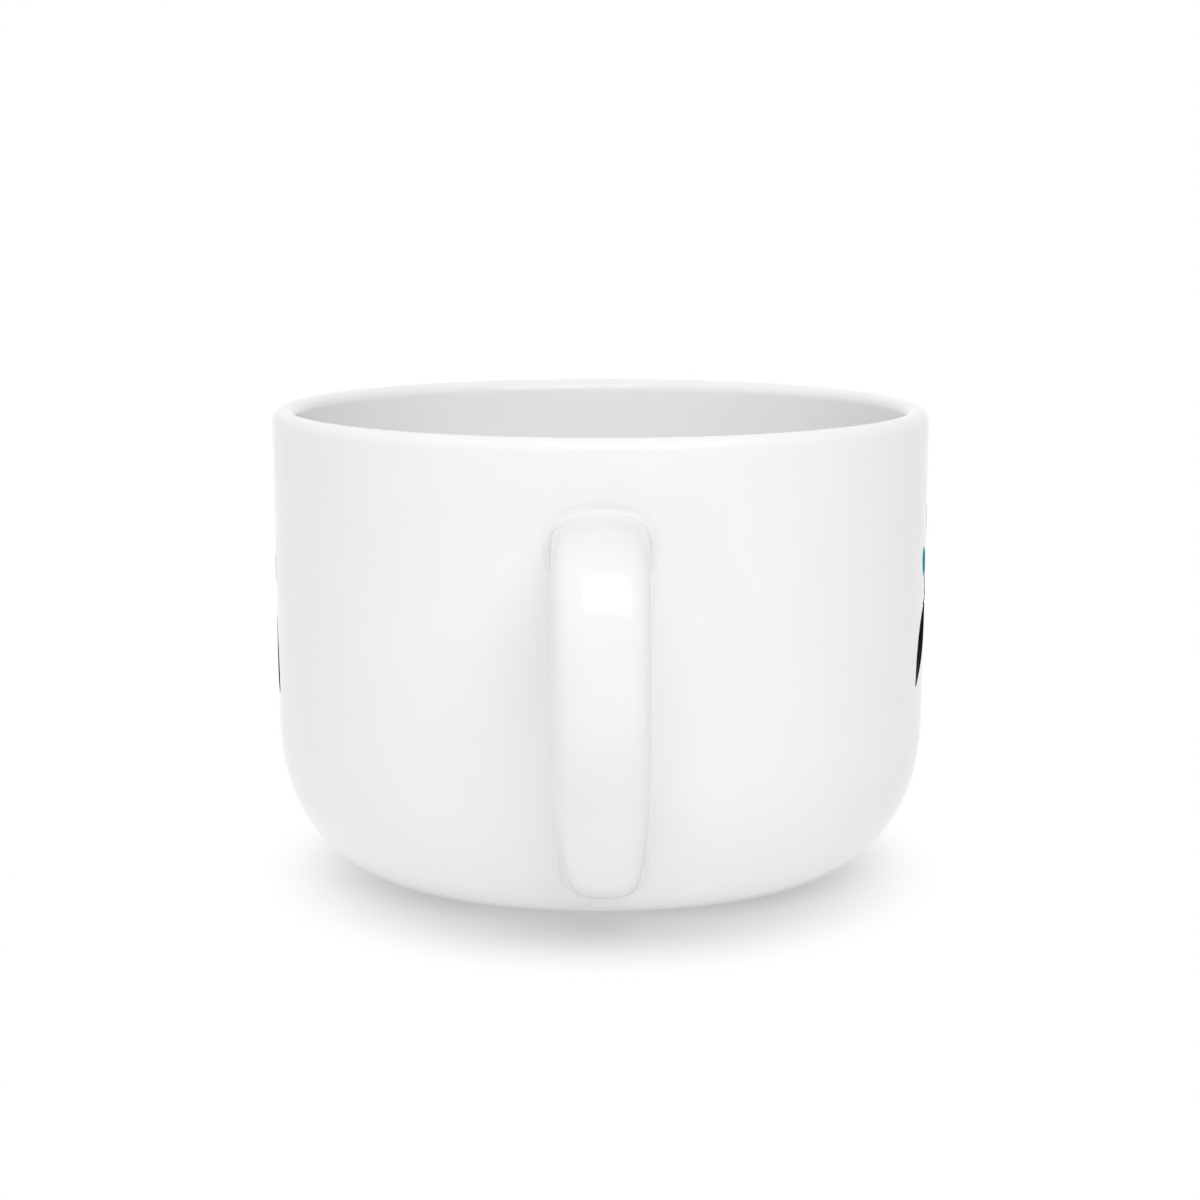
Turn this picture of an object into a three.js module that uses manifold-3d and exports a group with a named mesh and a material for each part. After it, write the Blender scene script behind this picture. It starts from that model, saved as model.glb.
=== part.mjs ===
// Latte mug: a wide stoneware bowl with a strap handle that is stuck on with slip.
// Millimetres, +Z up. The foot stands on z = 0 and the handle points along -Y.
// The origin lies on the table, under the middle of the mug's plan box.

import * as THREE from 'three';
import { mergeVertices } from 'three/addons/utils/BufferGeometryUtils.js';
import Module from 'manifold-3d';

// Bowl: the straight wall
const MUG_HEIGHT = 78;
const RIM_RADIUS = 55;
const WALL = 4;
const WALL_DRAFT = 0.7; // the wall draws in this much between the rim and the shoulder
const SHOULDER_HEIGHT = 26.2; // the straight wall ends here and the belly begins

// Bowl: the belly curve and the foot ring
const SHOULDER_PULL = 12.4; // how far the belly curve keeps to the wall's line
const FOOT_PULL = 11.4; // how far it keeps to the foot's slope
const FOOT_SLOPE = 22; // degrees from the table
const FOOT_INSET = 16.7; // the foot's edge lies this far inside the rim
const FOOT_ROUND = 0.75;
const FOOT_WIDTH = 3.8;
const RECESS_DEPTH = 1.8; // the underside inside the foot ring
const RECESS_BLEND = 3;

// Bowl: the inside
const BASE = 5; // clay between the recess and the floor
const FLOOR_BLEND_WIDTH = 24; // the floor curves up into the wall over this width
const FLOOR_BLEND_HEIGHT = 21; // and over this height
const FLOOR_PULL = 18; // how far that curve keeps to the floor
const INNER_WALL_PULL = 16; // and to the wall

// Handle: its centre line, from the upper root over the crest to the lower root
const HANDLE_REACH = 33.4; // from the rim's radius to the handle's outermost face
const UPPER_ROOT_DROP = 16.7; // middle of the upper root, below the rim
const UPPER_ROOT_RISE = 1; // degrees
const ARM_PULL = 7;
const CREST_DROP = 11.9; // top of the handle, below the rim
const CREST_PULL_IN = 5;
const CREST_PULL_OUT = 4;
const BEND_WIDTH = 12; // from the crest out to the outermost point
const BEND_HEIGHT = 13; // and down to it
const BEND_PULL = 11;
const SWEEP_PULL = 14;
const LOWER_ROOT_PULL = 28;
const LOWER_ROOT_HEIGHT = 9.2; // middle of the lower root, above the table
const LOWER_ROOT_RISE = 10; // degrees

// Handle: its section, a rectangle with very round corners
const STRAP_WIDTH = 14.8;
const STRAP_THICKNESS = 9.2;
const UPPER_WIDTH = 15.4; // at the upper root
const UPPER_THICKNESS = 10;
const UPPER_TAPER = 20; // length over which the upper end narrows to the strap
const LOWER_WIDTH = 12; // at the lower root
const LOWER_THICKNESS = 8.8;
const LOWER_TAPER = 45; // length over which the lower end widens to the strap
const SQUARENESS = 2.7; // exponent of the section's outline: 2 is an ellipse

// Slip joints
const SLIP_DEPTH = 1.4; // the layer of slip between the wall and the handle's end
const FILLET_RADIUS = 2; // of the slip bead, sponged smooth
const SEAT_GAP = 0.3; // between pieces that are stuck together

// Facets
const SEGMENTS = 72; // around the bowl
const BELLY_STEPS = 12;
const LIP_STEPS = 8;
const ROUND_STEPS = 3;
const STRAP_COLUMNS = 32; // around the strap
const STRAP_ROWS = 38; // along it
const FILLET_STEPS = 5;

const wasm = await Module();
wasm.setup();

const glaze = new THREE.MeshStandardMaterial({ color: 0xf2f2f0, roughness: 0.12, metalness: 0 });

const vector = (x, y) => new THREE.Vector2(x, y);
const heading = (degrees) => vector(1, 0).rotateAround(vector(0, 0), THREE.MathUtils.degToRad(degrees));
const ahead = (start, direction, length) => start.clone().addScaledVector(direction, length);

// Profiles are drawn with the radius along x and the height along y.
const rimEdge = vector(RIM_RADIUS, MUG_HEIGHT - WALL / 2);
const shoulder = vector(RIM_RADIUS - WALL_DRAFT, SHOULDER_HEIGHT);
const wallDown = shoulder.clone().sub(rimEdge).normalize();
const footCorner = vector(RIM_RADIUS - FOOT_INSET, 0);
const footRise = heading(FOOT_SLOPE);
const bellyStart = ahead(footCorner, footRise, FOOT_ROUND);

// The outer face from the foot to the rim: the belly curve, then the straight wall.
const belly = new THREE.CubicBezierCurve(
  bellyStart,
  ahead(bellyStart, footRise, FOOT_PULL),
  ahead(shoulder, wallDown, SHOULDER_PULL),
  shoulder,
);
const outerFace = [...belly.getPoints(BELLY_STEPS), rimEdge];

// The bowl's outline, from the middle of the underside round to the middle of the floor.
function bowlOutline() {
  const recessEdge = vector(footCorner.x - FOOT_WIDTH, 0);
  const recess = new THREE.QuadraticBezierCurve(
    vector(recessEdge.x - RECESS_BLEND, RECESS_DEPTH),
    vector(recessEdge.x, RECESS_DEPTH),
    recessEdge,
  );
  const footRounding = new THREE.QuadraticBezierCurve(
    vector(footCorner.x - FOOT_ROUND, 0),
    footCorner,
    bellyStart,
  );
  const lip = new THREE.EllipseCurve(RIM_RADIUS - WALL / 2, rimEdge.y, WALL / 2, WALL / 2, 0, Math.PI);

  const floorHeight = RECESS_DEPTH + BASE;
  const innerFoot = vector(shoulder.x - WALL, floorHeight + FLOOR_BLEND_HEIGHT);
  const floorEdge = vector(innerFoot.x - FLOOR_BLEND_WIDTH, floorHeight);
  const inside = new THREE.CubicBezierCurve(
    innerFoot,
    ahead(innerFoot, wallDown, INNER_WALL_PULL),
    vector(floorEdge.x + FLOOR_PULL, floorHeight),
    floorEdge,
  );
  return [
    vector(0, RECESS_DEPTH),
    ...recess.getPoints(ROUND_STEPS),
    ...footRounding.getPoints(ROUND_STEPS),
    ...outerFace.slice(1, -1),
    ...lip.getPoints(LIP_STEPS),
    ...inside.getPoints(BELLY_STEPS),
    vector(0, floorHeight),
  ];
}

// A profile turned about the mug's axis.
function turned(profile) {
  return new THREE.LatheGeometry(profile, SEGMENTS).rotateX(Math.PI / 2);
}

// The space inside the outer face grown by a clearance.
function bowlSpace(clearance) {
  const grown = outerFace.map((point, i) => {
    const before = outerFace[Math.max(i - 1, 0)];
    const after = outerFace[Math.min(i + 1, outerFace.length - 1)];
    const along = after.clone().sub(before).normalize();
    return ahead(point, vector(along.y, -along.x), clearance);
  });
  return turned([vector(0, grown[0].y), ...grown, vector(0, grown.at(-1).y)]);
}

// The radius of the outer face at a height.
function wallRadius(height) {
  const i = Math.max(1, outerFace.findIndex((point) => point.y >= height));
  const [low, high] = [outerFace[i - 1], outerFace[i]];
  return THREE.MathUtils.mapLinear(height, low.y, high.y, low.x, high.x);
}

// How far a point lies outside the outer face, and the direction straight away from that face.
function fromWall(point) {
  const flat = vector(Math.hypot(point.x, point.y), point.z);
  let nearest = { distance: Infinity };
  for (let i = 1; i < outerFace.length; i++) {
    const edge = outerFace[i].clone().sub(outerFace[i - 1]);
    const offset = flat.clone().sub(outerFace[i - 1]);
    const share = THREE.MathUtils.clamp(offset.dot(edge) / edge.lengthSq(), 0, 1);
    const away = offset.clone().addScaledVector(edge, -share);
    if (away.length() < Math.abs(nearest.distance)) {
      const side = offset.cross(edge) > 0 ? 1 : -1;
      nearest = { distance: side * away.length(), away: away.normalize().multiplyScalar(side) };
    }
  }
  const radial = new THREE.Vector3(point.x, point.y, 0).normalize();
  const normal = radial.multiplyScalar(nearest.away.x).setZ(nearest.away.y);
  return { distance: nearest.distance, normal };
}

// The handle's centre line, drawn with the distance from the mug's axis along x and the height along y.
// It starts and ends on the axis, so that the strap passes right through the wall at both roots.
function handleCentreLine() {
  const upperHeight = MUG_HEIGHT - UPPER_ROOT_DROP;
  const upperRoot = vector(wallRadius(upperHeight), upperHeight);
  const upperRise = heading(UPPER_ROOT_RISE);
  const lowerRoot = vector(wallRadius(LOWER_ROOT_HEIGHT), LOWER_ROOT_HEIGHT);
  const lowerRise = heading(LOWER_ROOT_RISE);
  const outermost = vector(
    RIM_RADIUS + HANDLE_REACH - STRAP_THICKNESS / 2,
    MUG_HEIGHT - CREST_DROP - STRAP_THICKNESS / 2 - BEND_HEIGHT,
  );
  const crest = vector(outermost.x - BEND_WIDTH, outermost.y + BEND_HEIGHT);
  const onAxis = (root, rise) => ahead(root, rise, -root.x / rise.x);

  const line = new THREE.CurvePath();
  line.add(new THREE.LineCurve(onAxis(upperRoot, upperRise), upperRoot));
  line.add(new THREE.CubicBezierCurve(
    upperRoot,
    ahead(upperRoot, upperRise, ARM_PULL),
    ahead(crest, vector(-1, 0), CREST_PULL_IN),
    crest,
  ));
  line.add(new THREE.CubicBezierCurve(
    crest,
    ahead(crest, vector(1, 0), CREST_PULL_OUT),
    ahead(outermost, vector(0, 1), BEND_PULL),
    outermost,
  ));
  line.add(new THREE.CubicBezierCurve(
    outermost,
    ahead(outermost, vector(0, -1), SWEEP_PULL),
    ahead(lowerRoot, lowerRise, LOWER_ROOT_PULL),
    lowerRoot,
  ));
  line.add(new THREE.LineCurve(lowerRoot, onAxis(lowerRoot, lowerRise)));
  return line;
}

const centreLine = handleCentreLine();
const stations = centreLine.getCurveLengths();
const upperRootAt = stations[0];
const lowerRootAt = stations.at(-2);
const lineLength = stations.at(-1);

// The strap's half width and half thickness at a distance along the centre line.
function strapSection(distance) {
  const fromUpper = THREE.MathUtils.smoothstep(distance - upperRootAt, 0, UPPER_TAPER);
  const fromLower = THREE.MathUtils.smoothstep(lowerRootAt - distance, 0, LOWER_TAPER);
  const blend = (upper, middle, lower) =>
    middle + (upper - middle) * (1 - fromUpper) + (lower - middle) * (1 - fromLower);
  return {
    halfWidth: blend(UPPER_WIDTH, STRAP_WIDTH, LOWER_WIDTH) / 2,
    halfThickness: blend(UPPER_THICKNESS, STRAP_THICKNESS, LOWER_THICKNESS) / 2,
  };
}

// A point of the strap's face. Angle 0 is on its +X edge, a quarter turn is on its outer face.
function strapPoint(distance, angle) {
  const centre = centreLine.getPoint(distance / lineLength);
  const along = centreLine.getTangent(distance / lineLength);
  const { halfWidth, halfThickness } = strapSection(distance);
  const squared = (value) => Math.sign(value) * Math.abs(value) ** (2 / SQUARENESS);
  const out = halfThickness * squared(Math.sin(angle));
  return new THREE.Vector3(
    halfWidth * squared(Math.cos(angle)),
    -(centre.x - along.y * out),
    centre.y + along.x * out,
  );
}

// The outward direction of the strap's face, from its slopes along and around the strap.
function strapNormal(distance, angle) {
  const step = 0.01;
  const lengthwise = strapPoint(distance + step, angle).sub(strapPoint(distance - step, angle));
  const around = strapPoint(distance, angle + step).sub(strapPoint(distance, angle - step));
  return around.cross(lengthwise).normalize();
}

// The centre of a ball that rolls in the corner between the strap and the wall, at one angle of the
// strap. It is found by halving the stretch between a place on the loose strap and one inside the bowl.
function filletBall(angle, loose, buried) {
  let [outside, inside] = [loose, buried];
  const ballAt = (distance) => ({
    distance,
    centre: strapPoint(distance, angle).addScaledVector(strapNormal(distance, angle), FILLET_RADIUS),
  });
  while (Math.abs(outside - inside) > SEAT_GAP / 1000) {
    const middle = (outside + inside) / 2;
    if (fromWall(ballAt(middle).centre).distance > FILLET_RADIUS) outside = middle;
    else inside = middle;
  }
  return ballAt(outside);
}

// The fillet's points at one angle, from the strap to the wall and on into the wall's thickness.
function filletArc(angle, ball) {
  const toStrap = strapNormal(ball.distance, angle).negate();
  const toWall = fromWall(ball.centre).normal.negate();
  const turn = toStrap.angleTo(toWall);
  const arc = Array.from({ length: FILLET_STEPS }, (_, i) => {
    const share = (i + 1) / FILLET_STEPS;
    return toStrap.clone()
      .multiplyScalar(Math.sin((1 - share) * turn) / Math.sin(turn))
      .addScaledVector(toWall, Math.sin(share * turn) / Math.sin(turn))
      .multiplyScalar(FILLET_RADIUS)
      .add(ball.centre);
  });
  return [...arc, arc.at(-1).clone().addScaledVector(toWall, WALL / 2)];
}

// One column of points along the handle, from inside the wall at one root to inside it at the other.
function handleColumn(angle) {
  const loose = (upperRootAt + lowerRootAt) / 2;
  const upper = filletBall(angle, loose, 0);
  const lower = filletBall(angle, loose, lineLength);
  const strap = Array.from({ length: STRAP_ROWS + 1 }, (_, i) =>
    strapPoint(THREE.MathUtils.lerp(upper.distance, lower.distance, i / STRAP_ROWS), angle));
  return [...filletArc(angle, upper).reverse(), ...strap, ...filletArc(angle, lower)];
}

// The whole handle with the flared fillets at its roots, closed inside the wall.
function flaredHandle() {
  const columns = Array.from(
    { length: STRAP_COLUMNS },
    (_, i) => handleColumn(2 * Math.PI * i / STRAP_COLUMNS),
  );
  const rows = columns[0].length;
  const middleOf = (row) => columns
    .reduce((sum, column) => sum.add(column[row]), new THREE.Vector3())
    .divideScalar(STRAP_COLUMNS);
  const points = [...columns.flat(), middleOf(0), middleOf(rows - 1)];
  const [firstCap, lastCap] = [points.length - 2, points.length - 1];
  const index = [];
  for (let i = 0; i < STRAP_COLUMNS; i++) {
    const here = i * rows;
    const next = ((i + 1) % STRAP_COLUMNS) * rows;
    for (let row = 0; row < rows - 1; row++) {
      index.push(here + row, next + row, here + row + 1);
      index.push(next + row, next + row + 1, here + row + 1);
    }
    index.push(firstCap, next, here);
    index.push(lastCap, here + rows - 1, next + rows - 1);
  }
  return new THREE.BufferGeometry().setFromPoints(points).setIndex(index);
}

// A closed geometry as a solid that can be cut.
function solidOf(geometry) {
  geometry.deleteAttribute('normal');
  geometry.deleteAttribute('uv');
  const merged = mergeVertices(geometry);
  return new wasm.Manifold(new wasm.Mesh({
    numProp: 3,
    vertProperties: merged.attributes.position.array,
    triVerts: new Uint32Array(merged.index.array),
  }));
}

// A cut solid as a geometry, with flat faces.
function geometryOf(solid) {
  const mesh = solid.getMesh();
  const geometry = new THREE.BufferGeometry();
  geometry.setAttribute('position', new THREE.BufferAttribute(mesh.vertProperties, 3));
  geometry.setIndex(new THREE.BufferAttribute(mesh.triVerts, 1));
  const faceted = geometry.toNonIndexed();
  faceted.computeVertexNormals();
  return faceted;
}

function piece(name, geometry) {
  const mesh = new THREE.Mesh(geometry, glaze);
  mesh.name = name;
  return mesh;
}

// The handle's ends are cut to the wall's curve, and the slip fills the room that is left in between.
const handle = solidOf(flaredHandle());
const slipInner = solidOf(bowlSpace(SEAT_GAP));
const slipOuter = solidOf(bowlSpace(SEAT_GAP + SLIP_DEPTH));
const handleEnd = solidOf(bowlSpace(SEAT_GAP + SLIP_DEPTH + SEAT_GAP));
const [lowerSlip, upperSlip] = handle.intersect(slipOuter).subtract(slipInner).decompose()
  .sort((a, b) => a.boundingBox().min[2] - b.boundingBox().min[2]);

const mug = new THREE.Group();
mug.add(piece('mug_body', turned(bowlOutline())));
mug.add(piece('handle', geometryOf(handle.subtract(handleEnd))));
mug.add(piece('upper_slip_joint', geometryOf(upperSlip)));
mug.add(piece('lower_slip_joint', geometryOf(lowerSlip)));

// The bowl's axis stands off the origin, so that the plan box of bowl and handle is centred on it.
mug.position.y = HANDLE_REACH / 2;

export default mug;
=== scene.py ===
# %% [markdown]
# # A latte mug, dressed for its photograph
#
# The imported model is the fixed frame: it says how wide and how high the mug is and where the handle
# stands. Everything below is built around it, in metres, with +Z up and the handle along -Y.

# %% Load the frame
import math

import bpy
import numpy as np
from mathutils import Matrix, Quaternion, Vector


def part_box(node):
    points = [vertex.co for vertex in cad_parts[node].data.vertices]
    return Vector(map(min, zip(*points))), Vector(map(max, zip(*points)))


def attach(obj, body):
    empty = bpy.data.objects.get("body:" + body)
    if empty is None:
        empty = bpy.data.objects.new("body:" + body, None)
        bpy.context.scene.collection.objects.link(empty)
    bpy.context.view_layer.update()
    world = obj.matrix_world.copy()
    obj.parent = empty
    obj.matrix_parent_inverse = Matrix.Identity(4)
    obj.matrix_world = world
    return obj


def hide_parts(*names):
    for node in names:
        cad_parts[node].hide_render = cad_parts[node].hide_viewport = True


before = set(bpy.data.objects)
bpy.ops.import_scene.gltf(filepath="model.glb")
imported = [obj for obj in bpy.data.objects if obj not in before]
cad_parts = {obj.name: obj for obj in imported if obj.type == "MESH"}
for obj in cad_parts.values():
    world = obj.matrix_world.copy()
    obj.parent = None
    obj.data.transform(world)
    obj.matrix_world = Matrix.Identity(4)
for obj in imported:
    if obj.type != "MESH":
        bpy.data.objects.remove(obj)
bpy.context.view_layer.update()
print("nodes:", sorted(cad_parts))

# %% [markdown]
# ## Sizes
#
# What the frame knows is read from the boxes of its nodes: the rim, the height, the handle's reach and
# its crest. The other sizes are those of a potter's drawing, in millimetres times MM.

# %% Read the frame's sizes
MM = 0.001

bowl_low, bowl_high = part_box("mug_body")
handle_low, handle_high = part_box("handle")

AXIS_Y = (bowl_low.y + bowl_high.y) / 2
RIM_RADIUS = (bowl_high.x - bowl_low.x) / 2
MUG_HEIGHT = bowl_high.z
HANDLE_REACH = AXIS_Y - handle_low.y - RIM_RADIUS
CREST_HEIGHT = handle_high.z
print(f"rim {2 * RIM_RADIUS / MM:.1f} mm across, height {MUG_HEIGHT / MM:.1f} mm")
print(f"handle reach {HANDLE_REACH / MM:.1f} mm, crest at {CREST_HEIGHT / MM:.1f} mm")

# %% [markdown]
# ## Camera
#
# The photograph looks straight at the handle from a little above the rim. A long lens from 63 cm keeps
# the rim's ellipse as flat as it is there. The frame is taken to be square.

# %% Set up the camera
CAMERA_DISTANCE = 628.2 * MM
CAMERA_HEIGHT = 136.4 * MM
CAMERA_ASIDE = -0.1 * MM
CAMERA_PITCH = math.radians(8.271)
LENS = 112.53
SENSOR = 36.0
NEAREST_SEEN = 50 * MM

camera_data = bpy.data.cameras.new("camera")
camera_data.lens = LENS
camera_data.sensor_width = SENSOR
camera_data.clip_start = NEAREST_SEEN
camera = bpy.data.objects.new("camera", camera_data)
camera.location = (CAMERA_ASIDE, AXIS_Y - CAMERA_DISTANCE, CAMERA_HEIGHT)
camera.rotation_euler = (math.pi / 2 - CAMERA_PITCH, 0, 0)
bpy.context.scene.collection.objects.link(camera)
bpy.context.scene.camera = camera
print(f"camera {CAMERA_DISTANCE / MM:.0f} mm from the axis, {CAMERA_HEIGHT / MM:.0f} mm above the table")

# %% [markdown]
# ## Curves
#
# Both the bowl's outline and the handle's centre line are chains of short curves, so a few helpers
# turn Bezier handles into points. All profiles hold the distance from the mug's axis and the height.

# %% Curve helpers
def bezier(points, steps):
    """Points along a Bezier curve of any order, from its control points."""
    t = np.linspace(0, 1, steps + 1)[:, None]
    layer = [np.asarray(p, float) for p in points]
    layer = [np.broadcast_to(p, (len(t), 2)) for p in layer]
    while len(layer) > 1:
        layer = [a + (b - a) * t for a, b in zip(layer, layer[1:])]
    return layer[0]


def straight(start, end, steps):
    """Points along a straight line."""
    return bezier([start, end], steps)


def heading(degrees):
    """The direction that rises by an angle as it goes away from the axis."""
    return np.array([math.cos(math.radians(degrees)), math.sin(math.radians(degrees))])


def chain(*stretches):
    """Stretches that meet end to end, as one list of points."""
    return np.vstack([stretches[0]] + [s[1:] for s in stretches[1:]])


# %% [markdown]
# ## Bowl outline
#
# A roller-formed bowl is a turned outline: a flat foot ring, a belly that rises from it at a shallow
# slope, an almost straight wall with a little draft, a full round lip, and inside a wide curve into the
# floor.

# %% Draw the outer face
WALL = 4.0 * MM
WALL_DRAFT = 0.7 * MM
SHOULDER_HEIGHT = 26.2 * MM
SHOULDER_PULL = 12.4 * MM
FOOT_PULL = 11.4 * MM
FOOT_SLOPE = 22.0
FOOT_INSET = 16.7 * MM
FOOT_ROUND = 0.75 * MM
BELLY_STEPS = 56
WALL_STEPS = 20

rim_edge = np.array([RIM_RADIUS, MUG_HEIGHT - WALL / 2])
shoulder = np.array([RIM_RADIUS - WALL_DRAFT, SHOULDER_HEIGHT])
wall_down = (shoulder - rim_edge) / np.linalg.norm(shoulder - rim_edge)
foot_corner = np.array([RIM_RADIUS - FOOT_INSET, 0.0])
foot_rise = heading(FOOT_SLOPE)
belly_start = foot_corner + foot_rise * FOOT_ROUND

belly = bezier(
    [belly_start, belly_start + foot_rise * FOOT_PULL, shoulder + wall_down * SHOULDER_PULL, shoulder],
    BELLY_STEPS,
)
outer_face = chain(belly, straight(shoulder, rim_edge, WALL_STEPS))
print("outer face points:", len(outer_face))

# %% Draw the foot and the lip
FOOT_WIDTH = 3.8 * MM
RECESS_DEPTH = 1.8 * MM
RECESS_BLEND = 3.0 * MM
FLAT_STEPS = 8
RECESS_STEPS = 12
RING_STEPS = 4
FOOT_ROUND_STEPS = 8
LIP_POINTS = 25

recess_edge = np.array([foot_corner[0] - FOOT_WIDTH, 0.0])
recess_top = np.array([recess_edge[0] - RECESS_BLEND, RECESS_DEPTH])
underside = chain(
    straight((0, RECESS_DEPTH), recess_top, FLAT_STEPS),
    bezier([recess_top, (recess_edge[0], RECESS_DEPTH), recess_edge], RECESS_STEPS),
    straight(recess_edge, foot_corner - (FOOT_ROUND, 0), RING_STEPS),
    bezier([foot_corner - (FOOT_ROUND, 0), foot_corner, belly_start], FOOT_ROUND_STEPS),
)

lip_turn = np.linspace(0, math.pi, LIP_POINTS)[:, None]
lip_middle = rim_edge - (WALL / 2, 0)
lip = lip_middle + WALL / 2 * np.hstack([np.cos(lip_turn), np.sin(lip_turn)])
print("underside points:", len(underside), "lip points:", len(lip))

# %% Draw the inside
BASE = 5.0 * MM
FLOOR_BLEND_WIDTH = 24.0 * MM
FLOOR_BLEND_HEIGHT = 21.0 * MM
FLOOR_PULL = 18.0 * MM
INNER_WALL_PULL = 16.0 * MM

floor_height = RECESS_DEPTH + BASE
inner_shoulder = np.array([shoulder[0] - WALL, floor_height + FLOOR_BLEND_HEIGHT])
floor_edge = np.array([inner_shoulder[0] - FLOOR_BLEND_WIDTH, floor_height])
inner_pull = inner_shoulder + wall_down * INNER_WALL_PULL
inside = chain(
    straight(lip[-1], inner_shoulder, WALL_STEPS),
    bezier([inner_shoulder, inner_pull, floor_edge + (FLOOR_PULL, 0), floor_edge], BELLY_STEPS),
    straight(floor_edge, (0, floor_height), FLAT_STEPS),
)
bowl_outline = chain(underside, outer_face, lip, inside)
print("bowl outline points:", len(bowl_outline))

# %% [markdown]
# ## Bowl
#
# The outline is turned about the axis ring by ring, with one point at each pole, so that the
# mesh is closed and its quads run evenly round the bowl.

# %% Turn the bowl
BOWL_SEGMENTS = 256


def new_piece(name, points, faces):
    """A smooth mesh object in the shared frame."""
    mesh = bpy.data.meshes.new(name)
    mesh.from_pydata([tuple(p) for p in points], [], faces)
    mesh.shade_smooth()
    mesh.update()
    piece = bpy.data.objects.new(name, mesh)
    bpy.context.scene.collection.objects.link(piece)
    return piece


def turned_piece(name, outline, segments):
    """An outline that starts and ends on the axis, turned about the mug's axis."""
    turn = np.linspace(0, 2 * math.pi, segments, endpoint=False)
    rings = outline[1:-1]
    points = [(r * math.cos(a), AXIS_Y + r * math.sin(a), z) for r, z in rings for a in turn]
    bottom, top = len(points), len(points) + 1
    points += [(0, AXIS_Y, outline[0][1]), (0, AXIS_Y, outline[-1][1])]
    faces = []
    for i in range(segments):
        j = (i + 1) % segments
        faces.append((bottom, j, i))
        for ring in range(len(rings) - 1):
            low, high = ring * segments, (ring + 1) * segments
            faces.append((low + i, low + j, high + j, high + i))
        last = (len(rings) - 1) * segments
        faces.append((last + i, last + j, top))
    return new_piece(name, points, faces)


bowl = turned_piece("glazed_bowl", bowl_outline, BOWL_SEGMENTS)
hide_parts("mug_body")
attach(bowl, "root")
print("bowl faces:", len(bowl.data.polygons))

# %% [markdown]
# ## Handle: centre line and strap
#
# The handle is a cast strap. Its centre line leaves the wall level, goes over the crest, bends down
# tightly and sweeps back to the belly. The strap's section is a rectangle with very round corners.

# %% Draw the centre line
UPPER_ROOT_DROP = 16.7 * MM
UPPER_ROOT_RISE = 1.0
ARM_PULL = 7.0 * MM
CREST_PULL_IN = 5.0 * MM
CREST_PULL_OUT = 4.0 * MM
BEND_WIDTH = 12.0 * MM
BEND_HEIGHT = 13.0 * MM
BEND_PULL = 11.0 * MM
SWEEP_PULL = 14.0 * MM
LOWER_ROOT_PULL = 28.0 * MM
LOWER_ROOT_HEIGHT = 9.2 * MM
LOWER_ROOT_RISE = 10.0
STRAP_THICKNESS = 9.2 * MM
LINE_STEPS = 160


def wall_point(height):
    """The point of the outer face at a height."""
    return np.array([np.interp(height, outer_face[:, 1], outer_face[:, 0]), height])


upper_root = wall_point(MUG_HEIGHT - UPPER_ROOT_DROP)
lower_root = wall_point(LOWER_ROOT_HEIGHT)
upper_rise = heading(UPPER_ROOT_RISE)
lower_rise = heading(LOWER_ROOT_RISE)
crest_middle = CREST_HEIGHT - STRAP_THICKNESS / 2
outermost = np.array([RIM_RADIUS + HANDLE_REACH - STRAP_THICKNESS / 2, crest_middle - BEND_HEIGHT])
crest = np.array([outermost[0] - BEND_WIDTH, crest_middle])

arm = bezier(
    [upper_root, upper_root + upper_rise * ARM_PULL, crest - (CREST_PULL_IN, 0), crest], LINE_STEPS
)
bend = bezier([crest, crest + (CREST_PULL_OUT, 0), outermost + (0, BEND_PULL), outermost], LINE_STEPS)
sweep = bezier(
    [outermost, outermost - (0, SWEEP_PULL), lower_root + lower_rise * LOWER_ROOT_PULL, lower_root],
    LINE_STEPS,
)
line = chain(
    straight(upper_root - upper_rise * upper_root[0] / upper_rise[0], upper_root, LINE_STEPS),
    arm,
    bend,
    sweep,
    straight(lower_root, lower_root - lower_rise * lower_root[0] / lower_rise[0], LINE_STEPS),
)
line_at = np.concatenate([[0], np.cumsum(np.linalg.norm(np.diff(line, axis=0), axis=1))])
upper_root_at = line_at[LINE_STEPS]
crest_at = line_at[2 * LINE_STEPS]
lower_root_at = line_at[4 * LINE_STEPS]
print(f"strap length {(lower_root_at - upper_root_at) / MM:.1f} mm")

# %% Shape the strap's section along it
STRAP_WIDTH = 14.8 * MM
UPPER_WIDTH = 15.4 * MM
UPPER_THICKNESS = 10.0 * MM
UPPER_TAPER = 20.0 * MM
LOWER_WIDTH = 12.0 * MM
LOWER_THICKNESS = 8.8 * MM
LOWER_TAPER = 45.0 * MM
SQUARENESS = 2.7
LEAN = 0.5 * MM
SLOPE_STEP = 0.05 * MM
TURN_STEP = 0.01


def ease(value, length):
    """A smooth step from 0 to 1 over a length."""
    share = np.clip(value / length, 0, 1)
    return share * share * (3 - 2 * share)


def line_point(distance):
    """Points of the centre line at distances along it."""
    return np.stack([np.interp(distance, line_at, line[:, i]) for i in range(2)], -1)


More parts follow.
